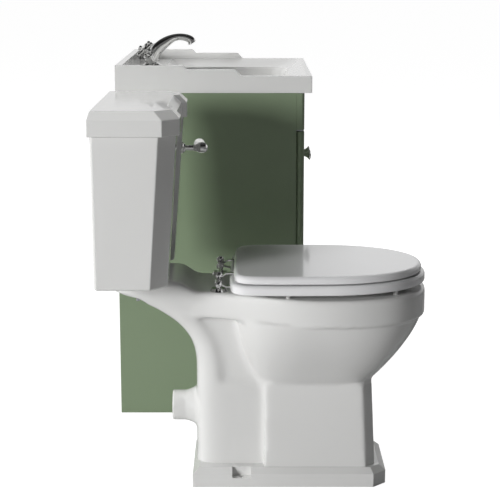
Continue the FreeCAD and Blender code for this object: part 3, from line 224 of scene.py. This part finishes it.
print("mirrored bands:", len(bands))

# %% [markdown]
# The Light Path node says what kind of ray asks for the sky. Two mix nodes in a row pick the answer: the
# first gives glossy rays the studio and all others the fill, and the second gives camera rays white.

# %% Choose the sky by the kind of ray
sky_rays = sky_tree.nodes.new("ShaderNodeLightPath")
glossy_mix = sky_tree.nodes.new("ShaderNodeMixShader")
camera_mix = sky_tree.nodes.new("ShaderNodeMixShader")
sky_out = sky_tree.nodes["World Output"]
wire(
    sky_tree,
    (sky_rays, "Is Glossy Ray", glossy_mix, "Fac"),
    (sky_fill, "Background", glossy_mix, 1),
    (sky_mirror, "Background", glossy_mix, 2),
    (sky_rays, "Is Camera Ray", camera_mix, "Fac"),
    (glossy_mix, "Shader", camera_mix, 1),
    (sky_seen, "Background", camera_mix, 2),
    (camera_mix, "Shader", sky_out, "Surface"),
)
print("sky nodes:", len(sky_tree.nodes))

# %% [markdown]
# ## The lamps
# A soft lamp to the left behind the camera does most of the lighting: faces turned to the camera are
# pale, faces turned to the front fall into shade, and the cistern shades the painted panel. A second
# lamp stands high behind the wall line and a third high beyond the vanity, so they light the tops and
# leave the sides alone. They are area lamps, because the size of an area lamp sets how soft the edge of
# a shadow is.

# %% Hang the lamps
set_middle = (0.0, 0.0, 0.5)


def add_lamp(name, place, target, size, power):
    """A square soft lamp that faces a point and doesn't show itself."""
    bpy.ops.object.select_all(action="DESELECT")
    bpy.ops.object.light_add(type="AREA", location=place)
    lamp = bpy.context.active_object
    lamp.name = name
    lamp.data.shape = "SQUARE"
    lamp.data.size = size
    lamp.data.energy = power
    aim = Vector(target) - Vector(place)
    lamp.rotation_euler = aim.to_track_quat("-Z", "Y").to_euler()
    lamp.visible_camera = False
    lamp.visible_glossy = False
    return lamp


for name, place, size, power in (
    ("key_lamp", (-7.8, 8.2, 2.6), 2.6, 935.0),
    ("back_lamp", (0.35, 4.2, 5.2), 2.0, 115.0),
    ("far_lamp", (4.2, -0.6, 3.8), 2.4, 125.0),
):
    add_lamp(name, place, set_middle, size, power)
    print(name, "is", size, "m wide and has", power, "W")

# %% [markdown]
# ## Shared surface effects
# Real finishes are never perfectly even. Glaze pools slightly, paint has a fine roller texture, and
# polished metal carries faint smears. Pictures of such marks would have to be laid out on every piece.
# Noise needs no layout, so one small node group gives a broad and a fine noise as plain values, read
# from object coordinates, and each material mixes them to its own taste.

# %% Build the shared node group
noise_detail = {"Broad": 3.0, "Fine": 2.0}
mottle_group = bpy.data.node_groups.new("surface_mottle", "ShaderNodeTree")
for label in noise_detail:
    mottle_group.interface.new_socket(label + " Scale", in_out="INPUT", socket_type="NodeSocketFloat")
    mottle_group.interface.new_socket(label, in_out="OUTPUT", socket_type="NodeSocketFloat")
mottle_in = mottle_group.nodes.new("NodeGroupInput")
mottle_out = mottle_group.nodes.new("NodeGroupOutput")
mottle_place = mottle_group.nodes.new("ShaderNodeTexCoord")
for label, detail in noise_detail.items():
    noise = mottle_group.nodes.new("ShaderNodeTexNoise")
    set_inputs(noise, Detail=detail)
    wire(
        mottle_group,
        (mottle_place, "Object", noise, "Vector"),
        (mottle_in, label + " Scale", noise, "Scale"),
        (noise, "Fac", mottle_out, label),
    )
print("group made:", mottle_group.name, "with", ", ".join(noise_detail))

# %% [markdown]
# ## Finishes
# One recipe serves all the finishes: a base colour that drifts between two near shades, a roughness
# that drifts between two limits, and a slight bump. Only the numbers differ, so china, lacquer, paint,
# chrome, rubber and board each come from one call.

# %% Write the finish recipe


def make_finish(name, light, dark, rough, bump, broad, fine, **fixed):
    """A material whose colour, roughness and bump vary over the surface.

    rough has the two limits of roughness, bump its strength and its height in metres, and broad and
    fine are the scales of the two noises. Whatever else is given is set on the shader as it is.
    """
    material = bpy.data.materials.new(name)
    material.use_nodes = True
    tree = material.node_tree
    shader = tree.nodes["Principled BSDF"]
    set_inputs(shader, **fixed)
    mottle = tree.nodes.new("ShaderNodeGroup")
    mottle.node_tree = mottle_group
    set_inputs(mottle, Broad_Scale=broad, Fine_Scale=fine)
    shades = tree.nodes.new("ShaderNodeMix")
    shades.data_type = "RGBA"
    set_inputs(shades, A=(*dark, 1.0), B=(*light, 1.0))
    polish = tree.nodes.new("ShaderNodeMapRange")
    set_inputs(polish, To_Min=rough[0], To_Max=rough[1])
    relief = tree.nodes.new("ShaderNodeBump")
    set_inputs(relief, Strength=bump[0], Distance=bump[1])
    wire(
        tree,
        (mottle, "Broad", shades, "Factor"),
        (shades, "Result", shader, "Base Color"),
        (mottle, "Fine", polish, "Value"),
        (polish, "Result", shader, "Roughness"),
        (mottle, "Fine", relief, "Height"),
        (relief, "Normal", shader, "Normal"),
    )
    print("finish made:", name)
    return material


# %% [markdown]
# Glaze and lacquer are smooth and lie under a clear coat, and the seat is whiter than the china. The
# cabinet's sage paint is a satin one with a fine roller bump. The board inside is a duller green.

# %% Mix the glaze, the lacquer and the paints
finish_of_slot = {}
finish_of_slot["china"] = make_finish(
    "china_glaze", light=(0.83, 0.83, 0.82), dark=(0.79, 0.79, 0.775), rough=(0.10, 0.16),
    bump=(0.02, 0.0002), broad=4.0, fine=40.0, Coat_Weight=0.5, Coat_Roughness=0.04,
)
finish_of_slot["seat_gloss"] = make_finish(
    "seat_lacquer", light=(0.94, 0.94, 0.95), dark=(0.91, 0.91, 0.92), rough=(0.12, 0.2),
    bump=(0.03, 0.0006), broad=5.0, fine=140.0, Coat_Weight=0.6, Coat_Roughness=0.05,
)
finish_of_slot["cabinet_green"] = make_finish(
    "sage_paint", light=(0.255, 0.328, 0.212), dark=(0.236, 0.306, 0.195), rough=(0.36, 0.48),
    bump=(0.12, 0.0004), broad=3.0, fine=700.0, Coat_Weight=0.15, Coat_Roughness=0.25,
)
finish_of_slot["carcass_board"] = make_finish(
    "carcass_board", light=(0.27, 0.34, 0.23), dark=(0.24, 0.3, 0.2), rough=(0.5, 0.65),
    bump=(0.15, 0.0004), broad=4.0, fine=500.0,
)

# %% [markdown]
# Metal has no colour of its own under the shine: it tints what it mirrors, so Metallic is full. Chrome
# is nearly a mirror, and zinc and copper are duller. Plastic and rubber are plain and rough.

# %% Mix the metals, the plastic and the rubber
finish_of_slot["chrome"] = make_finish(
    "bright_chrome", light=(0.82, 0.82, 0.81), dark=(0.74, 0.74, 0.73), rough=(0.03, 0.08),
    bump=(0.02, 0.0003), broad=20.0, fine=200.0, Metallic=1.0,
)
finish_of_slot["zinc_steel"] = make_finish(
    "zinc_steel", light=(0.6, 0.61, 0.63), dark=(0.48, 0.49, 0.52), rough=(0.28, 0.42),
    bump=(0.08, 0.0003), broad=40.0, fine=600.0, Metallic=1.0,
)
finish_of_slot["white_plastic"] = make_finish(
    "moulded_plastic", light=(0.82, 0.82, 0.81), dark=(0.76, 0.76, 0.75), rough=(0.38, 0.5),
    bump=(0.08, 0.0003), broad=12.0, fine=400.0,
)
finish_of_slot["rubber"] = make_finish(
    "pad_rubber", light=(0.72, 0.72, 0.71), dark=(0.62, 0.62, 0.61), rough=(0.55, 0.7),
    bump=(0.1, 0.0003), broad=30.0, fine=500.0,
)
finish_of_slot["copper_tails"] = make_finish(
    "copper_tube", light=(0.72, 0.4, 0.24), dark=(0.58, 0.3, 0.17), rough=(0.22, 0.4),
    bump=(0.06, 0.0003), broad=40.0, fine=300.0, Metallic=1.0,
)

# %% [markdown]
# The model's record says which slot each piece takes its finish from. A loop over the pieces sets them
# all, so none can be missed. A copy that is made later brings its finish with it.

# %% Give every measured piece its finish
slot_of_node = {}
for subpart in frame["record"]["subparts"]:
    slot_of_node[subpart["node"]] = subpart["material_slot"]
for node_name, node_object in nodes.items():
    node_object.data.materials.clear()
    node_object.data.materials.append(finish_of_slot[slot_of_node[node_name]])
print("pieces painted:", len(slot_of_node))

# %% [markdown]
# ## Softer edges
# Fired china and painted board have no knife edges, and a small round catches a line of light along
# each one. A shader can fake that round, but its outline stays sharp, so it is modelled. A copy of the
# measured piece is welded, its flat faces are joined up again, and a bevel modifier rounds what is left
# sharp. The copy then stands for the measured piece.

# %% Write the helpers for welded copies
weld_reach = 0.00002


def edit_all(piece):
    """Open one piece by itself in edit mode, with all of it selected."""
    bpy.ops.object.select_all(action="DESELECT")
    piece.select_set(True)
    bpy.context.view_layer.objects.active = piece
    bpy.ops.object.mode_set(mode="EDIT")
    bpy.ops.mesh.select_all(action="SELECT")


def welded_copy(node_name, name):
    """A copy of a measured piece with its loose triangles merged."""
    piece = bpy.data.objects.new(name, nodes[node_name].data.copy())
    bpy.context.scene.collection.objects.link(piece)
    edit_all(piece)
    bpy.ops.mesh.remove_doubles(threshold=weld_reach)
    bpy.ops.mesh.customdata_custom_splitnormals_clear()
    bpy.ops.object.mode_set(mode="OBJECT")
    print(name, "has", len(piece.data.vertices), "welded points")
    return piece


def stands_for(piece, node_name):
    """The piece moves with the body of the node that it replaces."""
    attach(piece, node_body[node_name])
    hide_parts(node_name)


# %% Write the helpers for eased edges
flat_angle = math.radians(0.6)
flat_weight = 80


def ease(piece, width, segments=3, sharp=30.0):
    """Join the flat faces of a piece and round its edges that are sharper than an angle."""
    edit_all(piece)
    bpy.ops.mesh.dissolve_limited(angle_limit=flat_angle)
    bpy.ops.object.mode_set(mode="OBJECT")
    bevel = piece.modifiers.new("eased_edges", "BEVEL")
    bevel.width = width
    bevel.segments = segments
    bevel.limit_method = "ANGLE"
    bevel.angle_limit = math.radians(sharp)
    bevel.use_clamp_overlap = True
    bpy.ops.object.modifier_apply(modifier=bevel.name)
    bpy.ops.object.shade_smooth()
    flatten = piece.modifiers.new("flat_faces", "WEIGHTED_NORMAL")
    flatten.weight = flat_weight
    bpy.ops.object.modifier_apply(modifier=flatten.name)


def eased_copy(node_name, width, **how):
    """A copy with rounded edges in place of a measured piece."""
    piece = welded_copy(node_name, node_name + "_eased")
    ease(piece, width, **how)
    stands_for(piece, node_name)
    return piece


# %% [markdown]
# The cabinet's boards come first. They are sanded before they are painted, so a round of about a
# millimetre is right, and two segments are enough for one so small.

# %% Round the boards of the cabinet
board_ease = 0.0012
for node_name in (
    "side_panel_left", "side_panel_right", "plinth_board", "fascia", "door_left", "door_right", "shelf",
    "base_panel", "front_rail",
):
    eased_copy(node_name, board_ease, segments=2)
print("boards eased by", board_ease * 1000, "mm")

# %% [markdown]
# The cistern and its lid are cast, and glaze rounds their edges further. The steps of the lid meet at
# shallow angles, so its bevel starts at 20 degrees. The cistern's starts at 40, which rounds its cut
# corners and its rim and leaves shallower bends alone.

# %% Round the cistern and its lid
lid_ease = 0.0015
cistern_ease = 0.002
lid_china = eased_copy("cistern_lid", lid_ease, sharp=20.0)
eased_copy("cistern_body", cistern_ease, sharp=40.0)
print("cistern eased by", cistern_ease * 1000, "mm, its lid by", lid_ease * 1000, "mm")

# %% [markdown]
# In the photograph the slopes of the lid, the top of the lever's ball and the inside of the basin are
# paler than the shaded fronts near them. Three small lamps do that. Each is linked to one piece alone,
# so the seat and the panel stay dark.

# %% Light three pieces by themselves
small_lamp = 0.8
lid_middle = (-0.38, 0.15, 0.78)
basin_middle = (0.307, 0.1, 0.83)
for name, place, target, power, piece in (
    ("lid_lamp", (-0.5, -0.6, 2.6), lid_middle, 7.5, lid_china),
    ("ball_lamp", (-0.8, 0.0, 2.2), lid_middle, 25.0, nodes["lever_grip"]),
    ("basin_lamp", (1.6, -1.2, 2.4), basin_middle, 6.0, nodes["basin"]),
):
    lamp = add_lamp(name, place, target, small_lamp, power)
    lit_pieces = bpy.data.collections.new("lit_by_" + name)
    lit_pieces.objects.link(piece)
    lamp.light_linking.receiver_collection = lit_pieces
    print(name, "lights", piece.name)

# %% [markdown]
# ## The pan
# The pan is cast in one piece and every surface flows into the next. The measured pan has the right
# sections, but its parts meet in creases, and a bevel can't follow creases that fade out. So a copy is
# cut off just above the top of the foot, and its cut end is pushed down so that it stands inside the
# foot. A voxel remesh turns it into an even skin, and rounds of smoothing then melt the creases, most
# of all on the neck behind the bowl.

# %% Cast the pan as one skin
pan_voxel = 0.0037
foot_top = 0.04
foot_sink = 0.012
cut_lift = 0.0005


def cut_level(piece, height, **side):
    """Cut a piece level, drop one side of the cut and close it. The piece is left in edit mode."""
    edit_all(piece)
    bpy.ops.mesh.bisect(plane_co=(0.0, 0.0, height), plane_no=(0.0, 0.0, 1.0), use_fill=True, **side)


pan = welded_copy("toilet_pan", "pan_china")
cut_level(pan, foot_top + cut_lift, clear_inner=True)
bpy.ops.mesh.extrude_region_move(TRANSFORM_OT_translate={"value": (0.0, 0.0, -foot_sink)})
bpy.ops.object.mode_set(mode="OBJECT")
remesh = pan.modifiers.new("cast", "REMESH")
remesh.mode = "VOXEL"
remesh.voxel_size = pan_voxel
bpy.ops.object.modifier_apply(modifier=remesh.name)
print("pan skin faces:", len(pan.data.polygons))

# %% [markdown]
# How soft each place becomes is painted as a vertex group. A `fade` runs from 0 to 1 between two
# limits, so the group is full on the rear body, low on the column and the front of the bowl, and empty
# on the foot, the spigot and the front of the rim. Heights are measured from the floor and depths
# from the wall.

# %% Paint the softness
wall_y = cad_high.y
foot_fade = (0.042, 0.075)
rim_fade = (0.372, 0.35)
rear_fade = (0.43, 0.35)
deck_fade = (0.36, 0.29)
deck_share = 0.6
crisp_share = 0.1
step_fade = (0.19, 0.26)
step_share = 0.35
spigot_depth = 0.182
spigot_top = 0.2


def fade(value, limits):
    """0 at the first limit, 1 at the second, and even between them."""
    share = (value - limits[0]) / (limits[1] - limits[0])
    return min(max(share, 0.0), 1.0)


soft = pan.vertex_groups.new(name="soft")
for vertex in pan.data.vertices:
    depth = wall_y - vertex.co.y
    height = vertex.co.z
    rear = fade(depth, rear_fade) * (step_share + (1.0 - step_share) * fade(height, step_fade))
    rear = crisp_share + (1.0 - crisp_share) * rear
    under_rim = max(fade(height, rim_fade), deck_share * fade(depth, deck_fade))
    softness = rear * under_rim * fade(height, foot_fade)
    if depth < spigot_depth and height < spigot_top:
        softness = 0.0
    soft.add([vertex.index], softness, "REPLACE")
print("points painted:", len(pan.data.vertices))

# %% [markdown]
# Many weak rounds melt the painted places. Two rounds over the whole skin then take away the small
# steps that the voxels left.

# %% Smooth the skin
smooth_factor = 0.5
melt_rounds = 70
polish_rounds = 2
for pass_name, rounds, group_name in (("melt", melt_rounds, soft.name), ("polish", polish_rounds, "")):
    smooth = pan.modifiers.new(pass_name, "SMOOTH")
    smooth.factor = smooth_factor
    smooth.iterations = rounds
    smooth.vertex_group = group_name
    bpy.ops.object.modifier_apply(modifier=smooth.name)
    print(pass_name, "rounds:", rounds)
bpy.ops.object.shade_smooth()
stands_for(pan, "toilet_pan")

# %% [markdown]
# The foot has plain flat faces with crisp edges, which a remesh would blur. So it is a second copy of
# the measured pan with all above the foot cut away, and only its edges are eased.

# %% Keep the crisp foot
foot_ease = 0.002
pan_foot = welded_copy("toilet_pan", "pan_foot_china")
cut_level(pan_foot, foot_top, clear_outer=True)
bpy.ops.object.mode_set(mode="OBJECT")
ease(pan_foot, foot_ease, sharp=20.0)
stands_for(pan_foot, "toilet_pan")
print("foot eased by", foot_ease * 1000, "mm")
